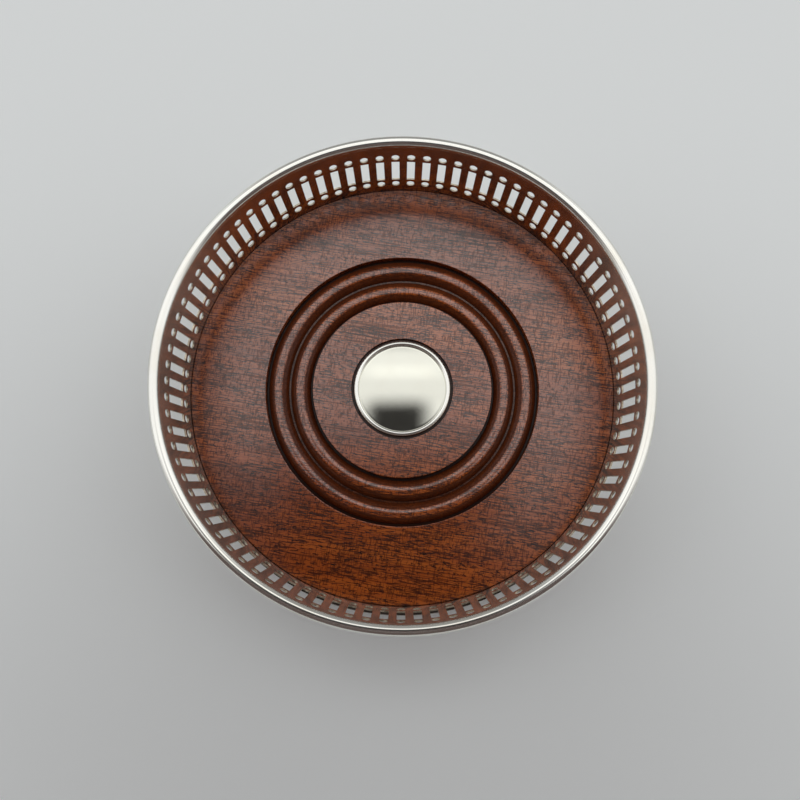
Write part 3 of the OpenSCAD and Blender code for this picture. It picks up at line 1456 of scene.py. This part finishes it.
@dataclass(frozen=True)
class PhotoCamera:
    """Camera at the photograph's viewing angle."""

    lens: float = 33.75
    sensor: float = 36.0
    place: Triple = (-0.06, -39.12, 218.46)
    tilt_deg: float = 9.68
    pan_deg: float = 0.15
    clip: Point = (0.01, 20.0)

    def build(self) -> Piece:
        """Makes the scene's camera.

        Returns:
            The camera.
        """
        data = bpy.data.cameras.new("photo_camera")
        data.lens, data.sensor_width, data.sensor_fit = self.lens, self.sensor, "HORIZONTAL"
        data.clip_start, data.clip_end = self.clip
        obj = bpy.data.objects.new("photo_camera", data)
        tilt = Matrix.Rotation(math.radians(self.tilt_deg), 4, "X")
        pan = Matrix.Rotation(math.radians(self.pan_deg), 4, "Y")
        obj.matrix_world = Matrix.Translation(Vector(self.place) * MM) @ tilt @ pan
        bpy.context.scene.collection.objects.link(obj)
        bpy.context.scene.camera = obj
        return obj


@dataclass(frozen=True)
class Room:
    """Soft room light: bright above and at the sides, dimmer at the back and shaded at the front.

    The ranges are of the parts of a direction of length 1.
    """

    horizon: Colour = (0.46, 0.46, 0.455, 1.0)
    side: Colour = (0.93, 0.935, 0.935, 1.0)
    side_zs: Point = (0.02, 0.36)
    ceiling: Colour = (1.02, 1.015, 1.00, 1.0)
    ceiling_zs: Point = (0.40, 0.85)
    back: Colour = (0.28, 0.28, 0.275, 1.0)
    back_ys: Point = (0.50, 0.72)
    back_xs: Point = (0.70, 0.30)
    dip: Colour = (0.0, 0.0, 0.0, 1.0)
    dip_share: float = 0.08
    dip_y: float = 0.17
    dip_offs: Point = (0.20, 0.06)
    front: Colour = (0.100, 0.078, 0.074, 1.0)
    front_ways: Point = (-0.02, -0.55)
    front_levels: Point = (0.34, 0.66)
    front_zs: Point = (-0.02, 0.06)
    glow: Colour = (0.14, 0.14, 0.13, 1.0)
    glow_y: float = 0.35
    glow_offs: Point = (0.11, 0.02)
    glow_xs: Point = (0.45, 0.20)
    strength: float = 1.10

    def build(self) -> bpy.types.World:
        """Makes the room.

        Returns:
            The scene's world.
        """
        world = bpy.data.worlds.new("room")
        bpy.context.scene.world = world
        world.use_nodes = True
        nodes = Nodes(world.node_tree)
        way = nodes.add("ShaderNodeTexCoord").outputs["Generated"]
        x, y, z = nodes.add("ShaderNodeSeparateXYZ", {0: way}).outputs
        aside, level = nodes.apart(x, 0.0), nodes.length(x, y)
        back = nodes.times(nodes.ease(y, *self.back_ys), nodes.ease(aside, *self.back_xs))
        dip = nodes.ease(nodes.apart(y, self.dip_y), *self.dip_offs, 0.0, self.dip_share)
        facing = nodes.ease(nodes.math("DIVIDE", y, level), *self.front_ways)
        low = nodes.ease(level, *self.front_levels)
        layers = (
            (nodes.ease(z, *self.side_zs), self.side),
            (nodes.ease(z, *self.ceiling_zs), self.ceiling),
            (back, self.back),
            (dip, self.dip),
            (nodes.times(facing, low, nodes.ease(z, *self.front_zs)), self.front),
        )
        colour: Any = self.horizon
        for cover, tint in layers:
            colour = nodes.mix(cover, colour, tint)
        ahead = nodes.ease(nodes.apart(y, self.glow_y), *self.glow_offs)
        glow = nodes.times(ahead, nodes.ease(aside, *self.glow_xs))
        colour = nodes.mix(glow, colour, self.glow, "ADD")
        nodes.fill(world.node_tree.nodes["Background"], {"Color": colour, "Strength": self.strength})
        return world


@dataclass(frozen=True)
class Flag:
    """The dark flag that hangs over the front and keeps glare off the near side."""

    x: float = -14.0
    z: float = 226.0
    half_w: float = 122.0
    ys: Point = (-228.0, 34.0)
    soft: Point = (80.0, 58.0)
    colour: Colour = (0.07, 0.066, 0.065, 1.0)
    front: Colour = (0.22, 0.175, 0.170, 1.0)
    front_ys: Point = (-62.0, -95.0)
    front_spread: float = 90.0

    def build(self) -> Piece:
        """Makes the flag.

        Returns:
            The flag, not seen by the camera.
        """
        material, nodes, shader = new_material("soft_flag")
        x, y, _ = nodes.add("ShaderNodeSeparateXYZ", {0: nodes.millimetres()}).outputs
        low, high = self.ys
        front = nodes.ease(y, *self.front_ys)
        off = nodes.minus(nodes.apart(x, self.x), nodes.times(front, self.front_spread))
        across = nodes.ease(off, self.half_w, self.half_w - self.soft[0])
        ahead = nodes.ease(y, high, high - self.soft[1])
        behind = nodes.ease(y, low, low + self.soft[1])
        look = {
            "Base Color": nodes.mix(front, self.colour, self.front),
            "Alpha": nodes.times(across, ahead, behind),
            "Roughness": 1.0,
            "Specular IOR Level": 0.0,
        }
        nodes.fill(shader, look)
        half = self.half_w + self.front_spread
        outline = ((-half, low), (half, low), (half, high), (-half, high))
        bm = bmesh.new()
        bm.faces.new([bm.verts.new((self.x + side, end, self.z)) for side, end in outline])
        flag = mesh_object("flag", bm, material)
        flag.visible_camera = False
        return flag


@dataclass(frozen=True)
class Floor:
    """The plain pale floor under the coaster."""

    radius: float = 3000.0
    z: float = -0.05
    colour: Colour = (0.905, 0.938, 0.950, 1.0)
    roughness: float = 0.8
    specular: float = 0.2
    segments: int = 96

    def build(self) -> Piece:
        """Makes the floor.

        Returns:
            The floor.
        """
        material, nodes, shader = new_material("pale_floor")
        look = {"Base Color": self.colour, "Roughness": self.roughness, "Specular IOR Level": self.specular}
        nodes.fill(shader, look)
        bm = lathe([(0.0, self.z), (self.radius, self.z)], self.segments, closed=False)
        floor = mesh_object("floor", bm, material)
        return floor


# Build


def corners(bounds: Iterable[Iterable[float]]) -> list[list[float]]:
    """A box's corners as plain lists of numbers."""
    return [[float(x) for x in corner] for corner in bounds]


def main() -> None:
    """Builds the coaster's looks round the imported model."""
    logging.basicConfig(level=logging.INFO, format="%(name)s: %(message)s")
    for obj in list(bpy.data.objects):
        bpy.data.objects.remove(obj)
    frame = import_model()

    bpy.context.scene.view_settings.view_transform = "Standard"
    PhotoCamera().build()
    Room().build()
    Flag().build()
    Floor().build()

    finishes = Finishes()
    wall = Wall()
    base = TurnedBase(wall)
    foot = FootRing(wall)
    array = RingArray()
    base.build()
    Gallery(wall).build(finishes, array)
    RimWire(wall).build(finishes)
    foot.build()
    Boss(base).build(finishes, frame["nodes"])
    GalleryPins(wall).build(finishes, array)
    BaizePad(foot).build(finishes)


if __name__ == "__main__":
    main()
